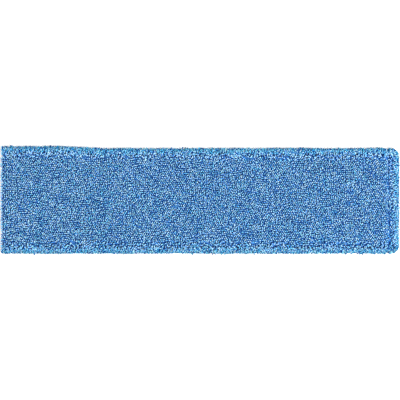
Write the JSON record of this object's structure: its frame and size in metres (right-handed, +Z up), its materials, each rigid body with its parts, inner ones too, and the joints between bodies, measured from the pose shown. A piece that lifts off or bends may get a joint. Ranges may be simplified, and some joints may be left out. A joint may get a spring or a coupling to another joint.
{
  "type": "microfibre flat mop pad",
  "caption": "Long flat mop pad with a thick blue twisted-loop microfibre pile on one face and a brushed backing that hook strips hold.",
  "frame": {"origin": "centre of the flat backing face, on the surface that the pad lies on", "axes": "+X along the pad towards its turned, round-cornered end, +Y across the pad, +Z up out of the loop pile"},
  "size_m": [0.483, 0.127, 0.014],
  "materials": {
    "pile_yarn": "matte",
    "pile_ground": "matte",
    "fleece": "matte",
    "foam": "matte",
    "backing": "matte",
    "blue_thread": "satin",
    "white_thread": "satin",
    "label_tape": "satin"
  },
  "bodies": {
    "root": {"loop_pile": "pile_yarn", "pile_ground_cloth": "pile_ground", "fleece_interlining": "fleece", "foam_core": "foam", "backing_panel": "backing", "front_seam_needle_thread": "blue_thread", "rear_seam_needle_thread": "blue_thread", "right_seam_needle_thread": "blue_thread", "front_seam_bobbin_thread": "white_thread", "rear_seam_bobbin_thread": "white_thread", "right_seam_bobbin_thread": "white_thread", "right_topstitch_needle_thread": "blue_thread", "right_topstitch_bobbin_thread": "blue_thread", "left_closing_needle_thread": "blue_thread", "left_closing_bobbin_thread": "blue_thread", "left_overlock_needle_thread": "blue_thread", "left_overlock_looper_thread": "blue_thread", "front_left_bartack": "blue_thread", "rear_left_bartack": "blue_thread", "blank_label": "label_tape", "blank_label_thread": "white_thread"}
  },
  "joints": []
}
